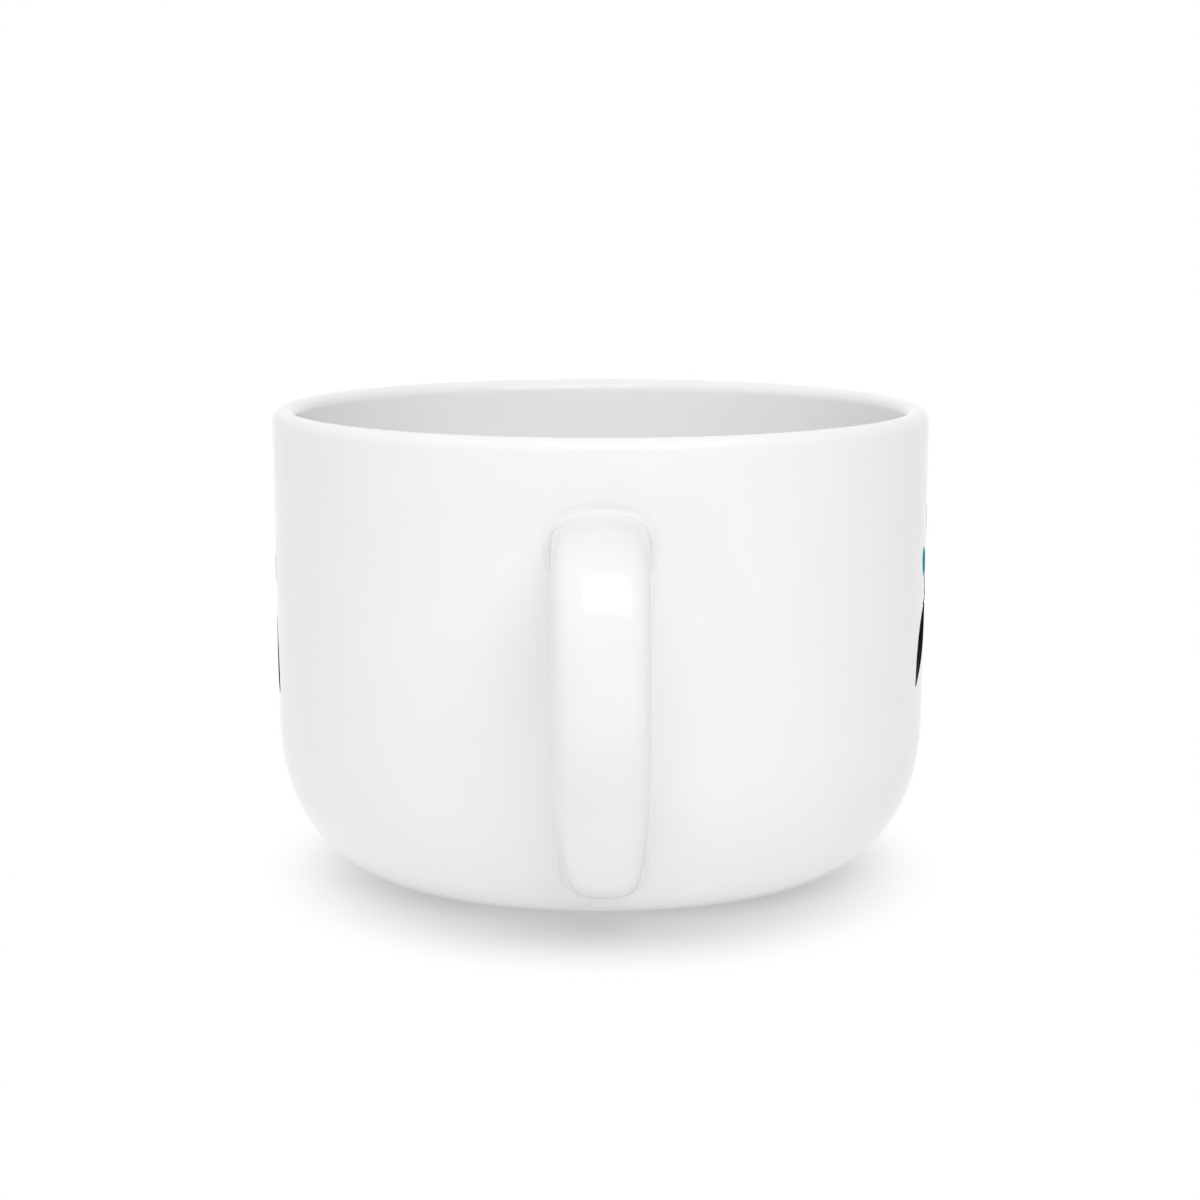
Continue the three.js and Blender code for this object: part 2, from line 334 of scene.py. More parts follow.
def strap_point(distance, angle):
    """Points of the strap's face. Angle 0 is its +X edge, a quarter turn its outer face."""
    centre = line_point(distance)
    along = line_point(distance + SLOPE_STEP) - line_point(distance - SLOPE_STEP)
    along = along / np.linalg.norm(along, axis=-1, keepdims=True)
    upper = 1 - ease(distance - upper_root_at, UPPER_TAPER)
    lower = 1 - ease(lower_root_at - distance, LOWER_TAPER)
    width = STRAP_WIDTH + (UPPER_WIDTH - STRAP_WIDTH) * upper + (LOWER_WIDTH - STRAP_WIDTH) * lower
    thick = (
        STRAP_THICKNESS
        + (UPPER_THICKNESS - STRAP_THICKNESS) * upper
        + (LOWER_THICKNESS - STRAP_THICKNESS) * lower
    )
    across = np.cos(angle)
    out = np.sin(angle)
    across = width / 2 * np.sign(across) * np.abs(across) ** (2 / SQUARENESS)
    out = thick / 2 * np.sign(out) * np.abs(out) ** (2 / SQUARENESS)
    reach = centre[..., 0] - along[..., 1] * out
    height = centre[..., 1] + along[..., 0] * out
    lean = LEAN * ease(distance - crest_at, lower_root_at - crest_at)
    return np.stack([across + lean, -reach, height], -1)


def strap_normal(distance, angle):
    """The outward direction of the strap's face."""
    lengthwise = strap_point(distance + SLOPE_STEP, angle) - strap_point(distance - SLOPE_STEP, angle)
    around = strap_point(distance, angle + TURN_STEP) - strap_point(distance, angle - TURN_STEP)
    normal = np.cross(around, lengthwise)
    return normal / np.linalg.norm(normal, axis=-1, keepdims=True)


print(f"strap {UPPER_WIDTH / MM:.1f} mm wide at its upper root, {LOWER_WIDTH / MM:.1f} mm at its lower one")

# %% [markdown]
# ## Handle: slip fillets
#
# Where the handle is stuck on, the potter sponges the slip to a smooth fillet. A ball that rolls in the
# corner between strap and wall touches both, and each column of the strap ends where the ball touches it.
# The arc between its two touching points would be a fillet, but its curvature would start abruptly and
# glossy glaze would show that as an outline. A curve of the fifth degree, which leaves both faces straight
# and bends most in the middle, has no such outline.

# %% Roll a ball in the corner
HALVINGS = 40


def from_wall(points):
    """How far points lie outside the bowl's outer face, and the direction straight away from it."""
    flat = np.stack([np.hypot(points[:, 0], points[:, 1]), points[:, 2]], -1)
    start, edge = outer_face[:-1], np.diff(outer_face, axis=0)
    offset = flat[:, None, :] - start
    share = np.clip((offset * edge).sum(-1) / (edge * edge).sum(-1), 0, 1)
    away = offset - share[..., None] * edge
    gap = np.linalg.norm(away, axis=-1)
    nearest = gap.argmin(axis=1)
    rows = np.arange(len(points))
    to_point, run = offset[rows, nearest], edge[nearest]
    side = np.sign(to_point[:, 0] * run[:, 1] - to_point[:, 1] * run[:, 0])
    away = away[rows, nearest] / gap[rows, nearest][:, None] * side[:, None]
    radial = points[:, :2] / flat[:, :1]
    normal = np.column_stack([radial * away[:, :1], away[:, 1]])
    return side * gap[rows, nearest], normal


def rolling_ball(angles, radius, loose, buried):
    """For each angle of the strap, where the ball touches it and the ball's middle."""
    outside = np.full(len(angles), loose)
    inside_bowl = np.full(len(angles), buried)
    for _ in range(HALVINGS):
        middle = (outside + inside_bowl) / 2
        ball = strap_point(middle, angles) + radius * strap_normal(middle, angles)
        clear = from_wall(ball)[0] > radius
        outside = np.where(clear, middle, outside)
        inside_bowl = np.where(clear, inside_bowl, middle)
    return outside, strap_point(outside, angles) + radius * strap_normal(outside, angles)


# %% Draw a fillet and its hem
FIRST_PULL = 0.4
SECOND_PULL = 0.8
FILLET_STEPS = 16
# Each row of the hem goes so far out along the wall and so deep under its face.
HEM = ((0.25 * MM, 0.008 * MM), (0.6 * MM, 0.04 * MM), (0.9 * MM, 0.12 * MM), (0.9 * MM, 1.0 * MM))


def onto_wall(points, depth):
    """Points moved straight to a depth under the bowl's outer face."""
    gap, normal = from_wall(points)
    return points - normal * (gap + depth)[:, None]


def fillet_rows(angles, radius, touch, ball):
    """Rows from the strap down the fillet to the wall, then a hem that slips under the wall's face."""
    to_strap = -strap_normal(touch, angles)
    to_wall = -from_wall(ball)[1]
    on_strap = ball + radius * to_strap
    on_face = ball + radius * to_wall
    corner = ball + radius * (to_strap + to_wall) / (1 + (to_strap * to_wall).sum(-1, keepdims=True))
    pulls = [on_strap + (corner - on_strap) * pull for pull in (0, FIRST_PULL, SECOND_PULL)]
    pulls += [on_face + (corner - on_face) * pull for pull in (SECOND_PULL, FIRST_PULL, 0)]
    degree = len(pulls) - 1
    rows = []
    for step in range(1, FILLET_STEPS + 1):
        share = step / FILLET_STEPS
        weights = [math.comb(degree, i) * share**i * (1 - share) ** (degree - i) for i in range(len(pulls))]
        rows.append(sum(weight * point for weight, point in zip(weights, pulls)))
    outward = rows[-1] - corner
    outward = outward / np.linalg.norm(outward, axis=-1, keepdims=True)
    for reach, depth in HEM:
        rows.append(onto_wall(rows[FILLET_STEPS - 1] + outward * reach, depth))
    return rows


# %% Build the handle
UPPER_FILLET = 1.7 * MM
LOWER_FILLET = 1.4 * MM
STRAP_COLUMNS = 128
STRAP_ROWS = 240


def tube_piece(name, rows):
    """A closed tube from rings of points, with a fan at each end."""
    count = len(rows[0])
    points = [p for row in rows for p in row] + [rows[0].mean(axis=0), rows[-1].mean(axis=0)]
    points = np.array(points) + (0, AXIS_Y, 0)
    first, last = len(points) - 2, len(points) - 1
    end = (len(rows) - 1) * count
    faces = []
    for i in range(count):
        j = (i + 1) % count
        faces.append((first, j, i))
        faces.append((last, end + i, end + j))
        for row in range(len(rows) - 1):
            here, there = row * count, (row + 1) * count
            faces.append((here + i, here + j, there + j, there + i))
    return new_piece(name, points, faces)


columns = np.linspace(0, 2 * math.pi, STRAP_COLUMNS, endpoint=False)
loose_at = (upper_root_at + lower_root_at) / 2
upper_touch, upper_ball = rolling_ball(columns, UPPER_FILLET, loose_at, 0.0)
lower_touch, lower_ball = rolling_ball(columns, LOWER_FILLET, loose_at, line_at[-1])
strap_rows = [
    strap_point(upper_touch + (lower_touch - upper_touch) * i / STRAP_ROWS, columns)
    for i in range(STRAP_ROWS + 1)
]
handle_rows = (
    fillet_rows(columns, UPPER_FILLET, upper_touch, upper_ball)[::-1]
    + strap_rows
    + fillet_rows(columns, LOWER_FILLET, lower_touch, lower_ball)
)
handle = tube_piece("glazed_handle", handle_rows)
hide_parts("handle", "upper_slip_joint", "lower_slip_joint")
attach(handle, "root")
print("handle faces:", len(handle.data.polygons))

# %% [markdown]
# ## Print: a sprig on the wall
#
# The side away from the handle carries a fired transfer print in black and teal. A transfer is a film of
# ink a few hundredths of a millimetre thick. It could be a mask in the glaze's nodes, but thin closed
# patches that follow the wall keep a crisp edge from any distance and let each ink be a piece of its own.
# They are drawn flat, on the unrolled wall, and then wrapped round it.

# %% Wrap a film of ink round the wall
INK_FILM = 0.04 * MM
FILM_COLUMNS = 4
FILM_RIM_ANGLE = math.radians(40)
PRINT_HEIGHT = 45.5 * MM
PRINT_TURN = math.radians(3.5)

print_radius = wall_point(PRINT_HEIGHT)[0]


def on_wall(flat, lift):
    """Points of the unrolled wall, across and up from about opposite the handle, wrapped round the bowl."""
    radius = np.interp(flat[..., 1], outer_face[:, 1], outer_face[:, 0]) + lift
    turn = flat[..., 0] / print_radius + PRINT_TURN
    return np.stack([radius * np.sin(turn), AXIS_Y + radius * np.cos(turn), flat[..., 1]], -1)


def film_patch(spine, near, far):
    """A closed film between two distances from a spine: its points and its faces."""
    along = np.gradient(spine, axis=0)
    along = along / np.linalg.norm(along, axis=1, keepdims=True)
    side = np.stack([-along[:, 1], along[:, 0]], -1)
    share = np.linspace(0, 1, FILM_COLUMNS + 1)
    reach = near[:, None] + (far - near)[:, None] * share
    flat = spine[:, None, :] + side[:, None, :] * reach[..., None]
    wide = FILM_COLUMNS + 1
    under = len(spine) * wide
    points = np.vstack([on_wall(flat, INK_FILM).reshape(-1, 3), on_wall(flat, -INK_FILM).reshape(-1, 3)])
    faces = []
    for row in range(len(spine) - 1):
        for column in range(FILM_COLUMNS):
            a = row * wide + column
            corners = (a, a + 1, a + wide + 1, a + wide)
            faces.append(corners)
            faces.append(tuple(under + c for c in reversed(corners)))
    last = (len(spine) - 1) * wide
    rim = list(range(wide))
    rim += [row * wide + FILM_COLUMNS for row in range(1, len(spine))]
    rim += [last + column for column in range(FILM_COLUMNS - 1, -1, -1)]
    rim += [row * wide for row in range(len(spine) - 2, 0, -1)]
    for a, b in zip(rim, rim[1:] + rim[:1]):
        faces.append((b, a, under + a, under + b))
    return points, faces


def film_piece(name, patches):
    """All the patches of one ink, as one piece with sharp rims."""
    points, faces = [], []
    for patch_points, patch_faces in patches:
        faces += [tuple(len(points) + c for c in face) for face in patch_faces]
        points += list(patch_points)
    piece = new_piece(name, points, faces)
    piece.data.set_sharp_from_angle(angle=FILM_RIM_ANGLE)
    return piece


print(f"print at {PRINT_HEIGHT / MM:.1f} mm, on a radius of {print_radius / MM:.1f} mm")

# %% Draw the stem
STEM_REACH = 92.0 * MM
STEM_SWAY = 2.6 * MM
STEM_WAVE = 62.0 * MM
STEM_HALF = 0.45 * MM
STEM_POINTS = 220
STEM_TIP_SHARE = 0.35
STEM_OVERRUN = 1.02


def stem_height(across):
    """The stem's height on the unrolled wall."""
    return PRINT_HEIGHT + STEM_SWAY * np.sin(2 * math.pi * across / STEM_WAVE)


stem_across = np.linspace(-STEM_REACH, STEM_REACH, STEM_POINTS)
stem = np.stack([stem_across, stem_height(stem_across)], -1)
stem_taper = np.sqrt(1 - (stem_across / STEM_REACH / STEM_OVERRUN) ** 2)
stem_half = STEM_HALF * (STEM_TIP_SHARE + (1 - STEM_TIP_SHARE) * stem_taper)
black_patches = [film_patch(stem, -stem_half, stem_half)]
print("stem points:", len(stem))

# %% Leaves and olives
STROKE_STEPS = 28
TIP_WIDTH = 0.03 * MM
LEAF_LENGTH = 15.5 * MM
LEAF_HALF = 2.7 * MM
LEAF_FULLNESS = 0.75
LEAF_LEAN = 48.0
LEAF_CURL = 14.0
LEAF_GAP = 0.5 * MM
VEIN_HALF = 0.16 * MM
TWIG_LENGTH = 3.4 * MM
TWIG_HALF = 0.22 * MM
TWIG_GAP = 0.3 * MM
OLIVE_LENGTH = 5.4 * MM
OLIVE_HALF = 1.75 * MM
OLIVE_LEAN = 62.0
OLIVE_GAP = 0.4 * MM


def stroke(start, lean, length, curl):
    """A spine that leaves a point at an angle and turns by a further angle along its length."""
    angles = np.radians(lean + curl * np.linspace(0, 1, STROKE_STEPS))
    step = length / STROKE_STEPS
    spine = np.cumsum(np.stack([np.cos(angles), np.sin(angles)], -1) * step, axis=0)
    return np.vstack([[0, 0], spine]) + start


def leaf_width(spine):
    """A leaf's half width along its spine: widest before the middle, and a fine tip."""
    share = np.linspace(0, 1, len(spine))
    return LEAF_HALF * np.sin(math.pi * share**LEAF_FULLNESS)


def olive_width(spine):
    """An olive's half width along its spine."""
    share = np.linspace(-1, 1, len(spine))
    return OLIVE_HALF * np.sqrt(np.clip(1 - share * share, 0, 1))


def draw_leaf(joint, way, up):
    """A leaf in two halves, with a bare vein between them."""
    lean = 90 - way * up * (90 - LEAF_LEAN)
    lean = lean if up > 0 else lean + 180
    start = joint + (0, up * (STEM_HALF + LEAF_GAP))
    spine = stroke(start, lean, LEAF_LENGTH, way * up * LEAF_CURL)
    vein = np.full(len(spine), VEIN_HALF)
    edge = vein + TIP_WIDTH + leaf_width(spine)
    return [film_patch(spine, vein, edge), film_patch(spine, -edge, -vein)]


def draw_olive(joint, way, up):
    """A twig on the stem's other side, and the olive on it."""
    lean = 90 + way * up * (90 - OLIVE_LEAN)
    lean = lean if up < 0 else lean + 180
    twig = stroke(joint - (0, up * (STEM_HALF + TWIG_GAP)), lean, TWIG_LENGTH, 0)
    twig_half = np.full(len(twig), TWIG_HALF)
    onward = (twig[-1] - twig[-2]) / np.linalg.norm(twig[-1] - twig[-2])
    olive = stroke(twig[-1] + onward * OLIVE_GAP, lean, OLIVE_LENGTH, 0)
    olive_half = TIP_WIDTH + olive_width(olive)
    return film_patch(twig, -twig_half, twig_half), film_patch(olive, -olive_half, olive_half)


# %% Draw the sprig
FIRST_LEAF = 8.0 * MM
LEAF_SPACING = 11.6 * MM
LEAVES_EACH_WAY = 8

teal_patches = []
for way in (-1, 1):
    for count in range(LEAVES_EACH_WAY):
        across = way * (FIRST_LEAF + count * LEAF_SPACING)
        up = -1 if count % 2 else 1
        joint = np.array([across, stem_height(across)])
        black_patches += draw_leaf(joint, way, up)
        twig_patch, olive_patch = draw_olive(joint, way, up)
        black_patches.append(twig_patch)
        teal_patches.append(olive_patch)

sprig = film_piece("printed_sprig", black_patches)
olives = film_piece("printed_olives", teal_patches)
for piece in (sprig, olives):
    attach(piece, "root")
    print(piece.name, "faces:", len(piece.data.polygons))

# %% [markdown]
# ## Glaze: its skin
#
# A fired gloss glaze is never quite even. It lies thicker in some places, which shows as faint clouds, its
# shine varies a little, and its surface has slow waves from the roller and a fine ripple like orange peel
# where it boiled and settled. Bowl, handle and ink share that skin, so it is a node group that measures
# along the object itself and is placed in each material with its own values.

# %% Node helpers
NOISE_LOW = 0.3
NOISE_HIGH = 0.7
# A Mix node has sockets for numbers, vectors and colours. These are the places of those for colours.
COLOR_A = 6
COLOR_B = 7
COLOR_RESULT = 2


def add_node(tree, kind, **settings):
    """A node of a kind, with its settings."""
    node = tree.nodes.new(kind)
    for key, value in settings.items():
        setattr(node, key, value)
    return node


def feed(tree, value, socket):
    """Link another node's output to a socket, or set a plain value on it."""
    if isinstance(value, bpy.types.NodeSocket):
        tree.links.new(value, socket)
    else:
        socket.default_value = value


def noise(tree, vector, size, detail):
    """A noise whose patches have a size in metres."""
    node = add_node(tree, "ShaderNodeTexNoise")
    feed(tree, vector, node.inputs["Vector"])
    feed(tree, 1 / size, node.inputs["Scale"])
    feed(tree, detail, node.inputs["Detail"])
    return node.outputs["Fac"]


def spread_over(tree, value, low, high):
    """A noise's usual range, spread from a low to a high value."""
    step = add_node(tree, "ShaderNodeMapRange", clamp=True)
    feed(tree, value, step.inputs["Value"])
    feed(tree, NOISE_LOW, step.inputs["From Min"])
    feed(tree, NOISE_HIGH, step.inputs["From Max"])
    feed(tree, low, step.inputs["To Min"])
    feed(tree, high, step.inputs["To Max"])
    return step.outputs["Result"]


def mix_colors(tree, factor, first, second):
    """Two colours mixed by a factor."""
    node = add_node(tree, "ShaderNodeMix", data_type="RGBA")
    feed(tree, factor, node.inputs["Factor"])
    feed(tree, first, node.inputs[COLOR_A])
    feed(tree, second, node.inputs[COLOR_B])
    return node.outputs[COLOR_RESULT]


# %% Build the glaze skin group
CLOUD_SIZE = 13 * MM
CLOUD_DETAIL = 3.0
SHINE_SIZE = 7 * MM
SHINE_DETAIL = 4.0
WAVE_SIZE = 11 * MM
WAVE_DETAIL = 0.0
PEEL_SIZE = 1.4 * MM
PEEL_DETAIL = 1.0
PEEL_SHARE = 0.035

glaze_skin = bpy.data.node_groups.new("glaze_skin", "ShaderNodeTree")
for label in ("Thin Color", "Thick Color"):
    glaze_skin.interface.new_socket(label, in_out="INPUT", socket_type="NodeSocketColor")
for label in ("Least Roughness", "Most Roughness"):
    glaze_skin.interface.new_socket(label, in_out="INPUT", socket_type="NodeSocketFloat")
glaze_skin.interface.new_socket("Color", in_out="OUTPUT", socket_type="NodeSocketColor")
for label in ("Roughness", "Height"):
    glaze_skin.interface.new_socket(label, in_out="OUTPUT", socket_type="NodeSocketFloat")
skin_in = add_node(glaze_skin, "NodeGroupInput")
skin_out = add_node(glaze_skin, "NodeGroupOutput")

place = add_node(glaze_skin, "ShaderNodeTexCoord").outputs["Object"]
clouds = spread_over(glaze_skin, noise(glaze_skin, place, CLOUD_SIZE, CLOUD_DETAIL), 0.0, 1.0)
cloudy = mix_colors(glaze_skin, clouds, skin_in.outputs["Thin Color"], skin_in.outputs["Thick Color"])
shine = spread_over(
    glaze_skin,
    noise(glaze_skin, place, SHINE_SIZE, SHINE_DETAIL),
    skin_in.outputs["Least Roughness"],
    skin_in.outputs["Most Roughness"],
)
ripple = add_node(glaze_skin, "ShaderNodeMath", operation="MULTIPLY_ADD")
feed(glaze_skin, noise(glaze_skin, place, PEEL_SIZE, PEEL_DETAIL), ripple.inputs[0])
feed(glaze_skin, PEEL_SHARE, ripple.inputs[1])
feed(glaze_skin, noise(glaze_skin, place, WAVE_SIZE, WAVE_DETAIL), ripple.inputs[2])
feed(glaze_skin, cloudy, skin_out.inputs["Color"])
feed(glaze_skin, shine, skin_out.inputs["Roughness"])
feed(glaze_skin, ripple.outputs[0], skin_out.inputs["Height"])
print("glaze skin nodes:", len(glaze_skin.nodes))

# %% Glaze the bowl and the handle
WAVE_DEPTH = 0.03 * MM
GLAZE_IOR = 1.5
GLAZE_SHINE = 0.3
GLAZE_ROUGHNESS = (0.05, 0.1)
BOWL_THIN = 0.873
BOWL_THICK = 0.887
# The handle's glaze is the bowl's glaze painted a little darker: painted shade for the handle's duller
# light.
HANDLE_SHADED_THIN = 0.836
HANDLE_SHADED_THICK = 0.864


def plain(tone):
    """A neutral colour of one tone."""
    return (tone, tone, tone, 1)


def skinned_material(name, thin, thick, roughness, shine):
    """A material with the glaze skin's colour, roughness (its least and its most) and ripple."""
    material = bpy.data.materials.new(name)
    material.use_nodes = True
    tree = material.node_tree
    shader = tree.nodes["Principled BSDF"]
    shader.inputs["IOR"].default_value = GLAZE_IOR
    shader.inputs["Specular IOR Level"].default_value = shine
    skin = add_node(tree, "ShaderNodeGroup", node_tree=glaze_skin)
    skin.inputs["Thin Color"].default_value = thin
    skin.inputs["Thick Color"].default_value = thick
    skin.inputs["Least Roughness"].default_value = roughness[0]
    skin.inputs["Most Roughness"].default_value = roughness[1]
    bump = add_node(tree, "ShaderNodeBump")
    bump.inputs["Distance"].default_value = WAVE_DEPTH
    feed(tree, skin.outputs["Color"], shader.inputs["Base Color"])
    feed(tree, skin.outputs["Roughness"], shader.inputs["Roughness"])
    feed(tree, skin.outputs["Height"], bump.inputs["Height"])
    feed(tree, bump.outputs["Normal"], shader.inputs["Normal"])
    return material


bowl_glaze = skinned_material(
    "bowl_glaze", plain(BOWL_THIN), plain(BOWL_THICK), GLAZE_ROUGHNESS, GLAZE_SHINE
)
# Painted shade: the handle gets a darker copy of the bowl's glaze.
handle_glaze = skinned_material(
    "handle_glaze", plain(HANDLE_SHADED_THIN), plain(HANDLE_SHADED_THICK), GLAZE_ROUGHNESS, GLAZE_SHINE
)
bowl.data.materials.append(bowl_glaze)
handle.data.materials.append(handle_glaze)
print("glazes:", bowl_glaze.name, handle_glaze.name)

# %% [markdown]
# ## Inks
#
# The inks follow the glaze they are fired on, so they have the same skin, but they dry to a low shine: even
# where the wall turns away they stay deep black and teal and hardly mirror the studio. Each ink has two
# colours, one where the film is thin and one where it is thick.

# %% Ink the sprig
INK_SHINE = 0.0
INK_ROUGHNESS = (0.35, 0.5)
BLACK_THIN = (0.016, 0.016, 0.017, 1)
BLACK_THICK = (0.006, 0.006, 0.007, 1)
TEAL_THIN = (0.018, 0.36, 0.43, 1)
TEAL_THICK = (0.011, 0.3, 0.37, 1)

black_ink = skinned_material("black_ink", BLACK_THIN, BLACK_THICK, INK_ROUGHNESS, INK_SHINE)
teal_ink = skinned_material("teal_ink", TEAL_THIN, TEAL_THICK, INK_ROUGHNESS, INK_SHINE)
sprig.data.materials.append(black_ink)
olives.data.materials.append(teal_ink)
print("inks:", black_ink.name, teal_ink.name)

# %% [markdown]
# ## Bare foot
#
# The foot ring is wiped clean before firing so that the mug doesn't stick to the kiln shelf. What shows is
# bare clay: matt, a little warmer than the glaze, with sandy grain and grey scuffs from tables. It is a
# second material on the bowl's own faces, those that lie on the table.

# %% Bare the foot ring
GRAIN_SIZE = 0.35 * MM
GRAIN_DETAIL = 2.0
GRAIN_DEPTH = 0.04 * MM
SAND_DARK = (0.6, 0.55, 0.48, 1)
SAND_PALE = (0.78, 0.75, 0.69, 1)
SAND_ROUGHNESS = (0.6, 0.85)
SCUFF_SIZE = 3.5 * MM
SCUFF_DETAIL = 5.0
SCUFF_COVER = (-0.5, 0.7)
SCUFF_GREY = (0.42, 0.41, 0.4, 1)
FOOT_EDGE = 0.04 * MM

bare_clay = bpy.data.materials.new("bare_clay")
bare_clay.use_nodes = True
clay_tree = bare_clay.node_tree
clay_shader = clay_tree.nodes["Principled BSDF"]
place = add_node(clay_tree, "ShaderNodeTexCoord").outputs["Object"]
grain = noise(clay_tree, place, GRAIN_SIZE, GRAIN_DETAIL)
scuffs = spread_over(clay_tree, noise(clay_tree, place, SCUFF_SIZE, SCUFF_DETAIL), *SCUFF_COVER)
sandy = mix_colors(clay_tree, spread_over(clay_tree, grain, 0.0, 1.0), SAND_DARK, SAND_PALE)
clay_bump = add_node(clay_tree, "ShaderNodeBump")
clay_bump.inputs["Distance"].default_value = GRAIN_DEPTH
feed(clay_tree, mix_colors(clay_tree, scuffs, sandy, SCUFF_GREY), clay_shader.inputs["Base Color"])
feed(clay_tree, spread_over(clay_tree, grain, *SAND_ROUGHNESS), clay_shader.inputs["Roughness"])
feed(clay_tree, grain, clay_bump.inputs["Height"])
feed(clay_tree, clay_bump.outputs["Normal"], clay_shader.inputs["Normal"])

bowl.data.materials.append(bare_clay)
foot_faces = [face for face in bowl.data.polygons if face.center.z < FOOT_EDGE]
for face in foot_faces:
    face.material_index = 1
print("foot faces:", len(foot_faces))

# %% [markdown]
# ## Floor
#
# The mug stands on a product table: a white sheet that is lit a little from below, so that the belly above
# it isn't dark. What the camera and the mirror rays see near the mug is a painted shadow: a sheet that
# stays below white even in full light, with only a thin share of the mug's real shadow on it, so that the
# handle's part of that doesn't stand out. The painted shadow fades out in an oval round the mug, and from
# there on the sheet is as white as the background: no horizon shows.

# %% Lay the floor
FLOOR_RADIUS = 0.9
FLOOR_EDGES = 96

floor_angles = np.linspace(0, 2 * math.pi, FLOOR_EDGES, endpoint=False)
floor_mesh = bpy.data.meshes.new("floor")
floor_mesh.from_pydata(
    [(FLOOR_RADIUS * math.cos(a), AXIS_Y + FLOOR_RADIUS * math.sin(a), 0) for a in floor_angles],
    [],
    [tuple(range(FLOOR_EDGES))],
)
floor = bpy.data.objects.new("floor", floor_mesh)
bpy.context.scene.collection.objects.link(floor)
print(f"floor {2 * FLOOR_RADIUS:.1f} m across")

# %% Shader helpers
def glowing_sheet(tree, tone, glow):
    """A matt sheet of a tone that also glows a little."""
    sheet = add_node(tree, "ShaderNodeBsdfDiffuse")
    sheet.inputs["Color"].default_value = plain(tone)
    light = add_node(tree, "ShaderNodeEmission")
    light.inputs["Strength"].default_value = glow
    both = add_node(tree, "ShaderNodeAddShader")
    feed(tree, sheet.outputs[0], both.inputs[0])
    feed(tree, light.outputs[0], both.inputs[1])
    return both.outputs[0]


def mix_shaders(tree, factor, first, second):
    """Two shaders mixed by a factor."""
    node = add_node(tree, "ShaderNodeMixShader")
    feed(tree, factor, node.inputs["Fac"])
    feed(tree, first, node.inputs[1])
    feed(tree, second, node.inputs[2])
    return node.outputs[0]


def ray_mask(tree):
    """1 for the rays of the camera, of mirrors and of glass, and 0 for the light on the mug."""
    rays = add_node(tree, "ShaderNodeLightPath")
    first = add_node(tree, "ShaderNodeMath", operation="MAXIMUM")
    second = add_node(tree, "ShaderNodeMath", operation="MAXIMUM")
    feed(tree, rays.outputs["Is Camera Ray"], first.inputs[0])
    feed(tree, rays.outputs["Is Glossy Ray"], first.inputs[1])
    feed(tree, first.outputs[0], second.inputs[0])
    feed(tree, rays.outputs["Is Transmission Ray"], second.inputs[1])
    return second.outputs[0]


# %% Dress the floor
TABLE_TONE = 0.55
TABLE_GLOW = 0.47
# Painted shadow: near the mug the seen sheet keeps this share of its real light plus this lift, so it stays
# below white; it fades to white in a stretched oval.
PAINTED_SHADE_TONE = 0.3
PAINTED_SHADE_LIFT = 0.352
PAINTED_SHADE_STRETCH = 0.69
WHITE_STARTS = 32 * MM
WHITE_ENDS = 58 * MM

floor_material = bpy.data.materials.new("floor")
floor_material.use_nodes = True
floor_tree = floor_material.node_tree
floor_tree.nodes.clear()

# The oval in which the painted shadow fades to white.
place = add_node(floor_tree, "ShaderNodeTexCoord")
oval = add_node(floor_tree, "ShaderNodeMapping", vector_type="TEXTURE")
oval.inputs["Location"].default_value = (0, AXIS_Y, 0)
oval.inputs["Scale"].default_value = (1, 1 / PAINTED_SHADE_STRETCH, 1)
length = add_node(floor_tree, "ShaderNodeVectorMath", operation="LENGTH")
whiten = add_node(floor_tree, "ShaderNodeMapRange", interpolation_type="SMOOTHSTEP")
whiten.inputs["From Min"].default_value = WHITE_STARTS
whiten.inputs["From Max"].default_value = WHITE_ENDS
feed(floor_tree, place.outputs["Object"], oval.inputs["Vector"])
feed(floor_tree, oval.outputs["Vector"], length.inputs[0])
feed(floor_tree, length.outputs["Value"], whiten.inputs["Value"])

lit_table = glowing_sheet(floor_tree, TABLE_TONE, TABLE_GLOW)
# The painted shadow round the mug, with a thin share of the real shadow in it.
painted_shade_table = glowing_sheet(floor_tree, PAINTED_SHADE_TONE, PAINTED_SHADE_LIFT)
white = add_node(floor_tree, "ShaderNodeEmission").outputs[0]
seen_table = mix_shaders(floor_tree, whiten.outputs["Result"], painted_shade_table, white)
floor_output = add_node(floor_tree, "ShaderNodeOutputMaterial")
floor_surface = mix_shaders(floor_tree, ray_mask(floor_tree), lit_table, seen_table)
feed(floor_tree, floor_surface, floor_output.inputs["Surface"])
floor.data.materials.append(floor_material)
print("floor nodes:", len(floor_tree.nodes))

# %% [markdown]
# ## Studio light
#
# A large softbox stands above and a little to the right of the camera: it makes the window on the bend of
# the handle and the shade to its left. The rest is a tent of pale walls, brighter behind the camera and
# behind the mug and darker on the side of the softbox, so that both flanks of the mug come out alike. Each
# of these is a soft lobe of light round one direction, which is simpler than hanging real cloths and has no
# noise. The camera, mirrors and glass see plain white.

# %% Hang the tent
TENT_WALLS = 0.54
TENT_FRONT = 0.16
TENT_BACK = 0.5
TENT_LEFT = 0.11
TENT_RIGHT = -0.5
TENT_CEILING = 0.14
LOBE_POWER = 2.0

world = bpy.data.worlds.new("tent")
bpy.context.scene.world = world
world.use_nodes = True
tent = world.node_tree
background = tent.nodes["Background"]
background.inputs["Color"].default_value = plain(1)
way_out = add_node(tent, "ShaderNodeTexCoord").outputs["Generated"]


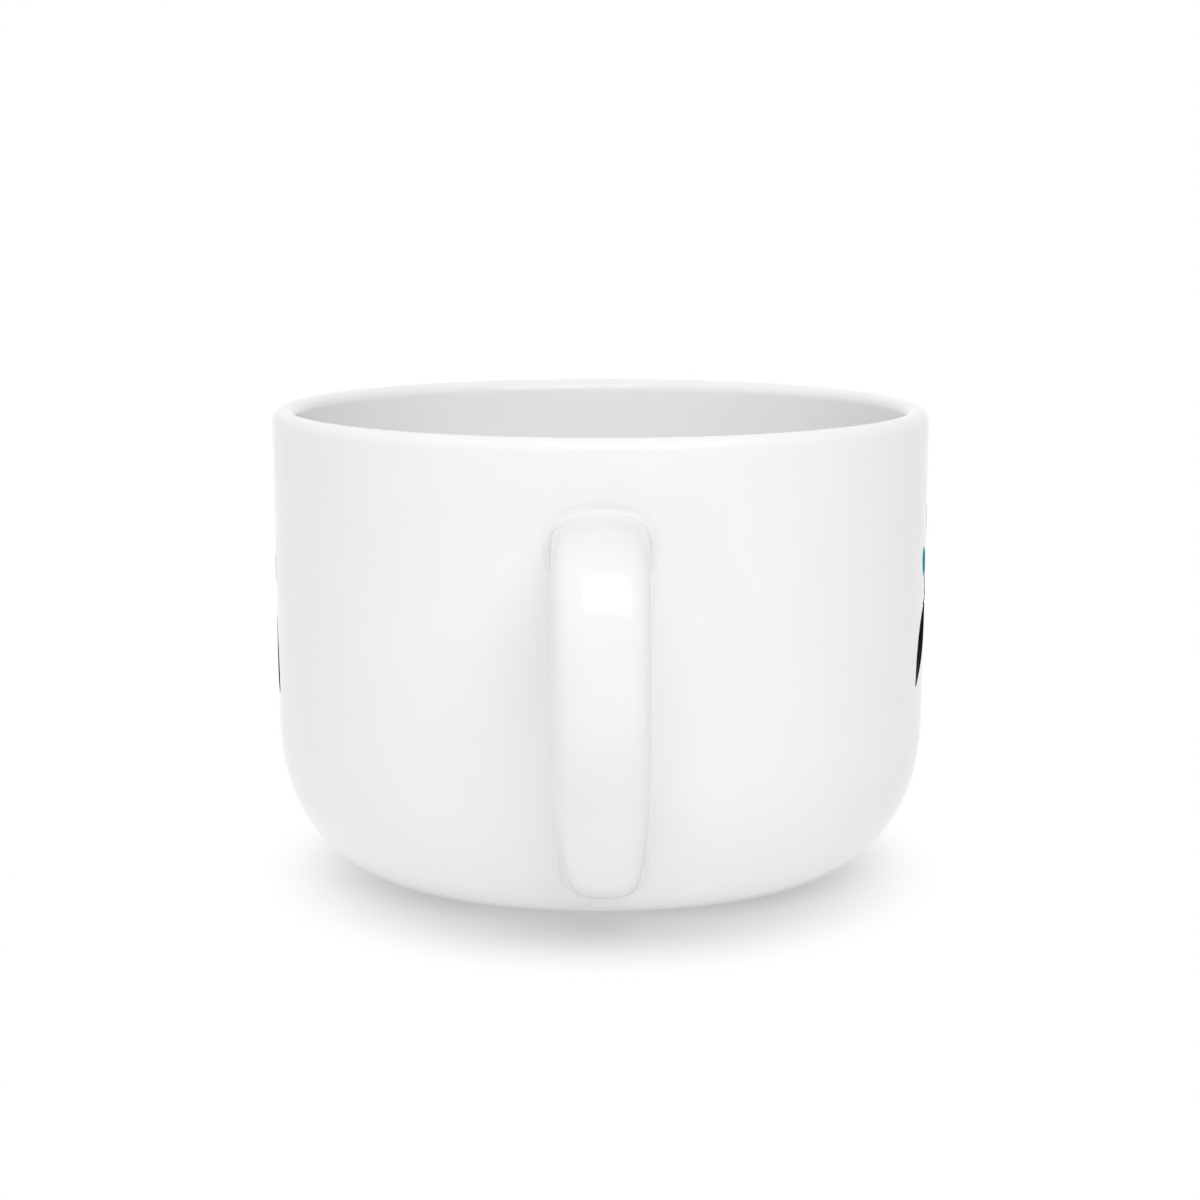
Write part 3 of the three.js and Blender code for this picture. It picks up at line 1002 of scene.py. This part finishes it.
def add_lobe(light, direction, strength):
    """Light plus a soft lobe of a strength round a direction."""
    towards = add_node(tent, "ShaderNodeVectorMath", operation="DOT_PRODUCT")
    ahead = add_node(tent, "ShaderNodeMath", operation="MAXIMUM")
    narrowed = add_node(tent, "ShaderNodeMath", operation="POWER")
    total = add_node(tent, "ShaderNodeMath", operation="MULTIPLY_ADD")
    feed(tent, way_out, towards.inputs[0])
    feed(tent, direction, towards.inputs[1])
    feed(tent, towards.outputs["Value"], ahead.inputs[0])
    feed(tent, 0.0, ahead.inputs[1])
    feed(tent, ahead.outputs[0], narrowed.inputs[0])
    feed(tent, LOBE_POWER, narrowed.inputs[1])
    feed(tent, narrowed.outputs[0], total.inputs[0])
    feed(tent, strength, total.inputs[1])
    feed(tent, light, total.inputs[2])
    return total.outputs[0]


tent_light = add_lobe(TENT_WALLS, (0, -1, 0), TENT_FRONT)
tent_light = add_lobe(tent_light, (0, 1, 0), TENT_BACK)
tent_light = add_lobe(tent_light, (-1, 0, 0), TENT_LEFT)
tent_light = add_lobe(tent_light, (1, 0, 0), TENT_RIGHT)
tent_light = add_lobe(tent_light, (0, 0, 1), TENT_CEILING)
tent_seen = add_node(tent, "ShaderNodeMix", data_type="FLOAT")
feed(tent, ray_mask(tent), tent_seen.inputs["Factor"])
feed(tent, tent_light, tent_seen.inputs["A"])
feed(tent, 1.0, tent_seen.inputs["B"])
feed(tent, tent_seen.outputs["Result"], background.inputs["Strength"])
print("tent nodes:", len(tent.nodes))

# %% Set up the softbox
# Azimuth 0 is behind the camera, and positive to its right.
KEY_AZIMUTH = math.radians(17)
KEY_ELEVATION = math.radians(49)
KEY_ROLL = math.radians(-10)
KEY_DISTANCE = 1.1
KEY_WIDTH = 0.93
KEY_HEIGHT = 0.88
KEY_RADIANCE = 2.45

key_data = bpy.data.lights.new("key_softbox", "AREA")
key_data.shape = "RECTANGLE"
key_data.size = KEY_WIDTH
key_data.size_y = KEY_HEIGHT
key_data.energy = KEY_RADIANCE * math.pi * KEY_WIDTH * KEY_HEIGHT
key = bpy.data.objects.new("key_softbox", key_data)
key_level = math.cos(KEY_ELEVATION)
key_way = Vector(
    (math.sin(KEY_AZIMUTH) * key_level, -math.cos(KEY_AZIMUTH) * key_level, math.sin(KEY_ELEVATION))
)
key.location = Vector((0, AXIS_Y, MUG_HEIGHT / 2)) + key_way * KEY_DISTANCE
key.rotation_mode = "QUATERNION"
key.rotation_quaternion = key_way.to_track_quat("Z", "Y") @ Quaternion((0, 0, 1), KEY_ROLL)
key.visible_camera = False
bpy.context.scene.collection.objects.link(key)
print(f"softbox {key_data.energy:.2f} W")

# %% [markdown]
# ## Finish
#
# The colours are shown as they are, without a film look.

# %% Finish
bpy.context.scene.view_settings.view_transform = "Standard"
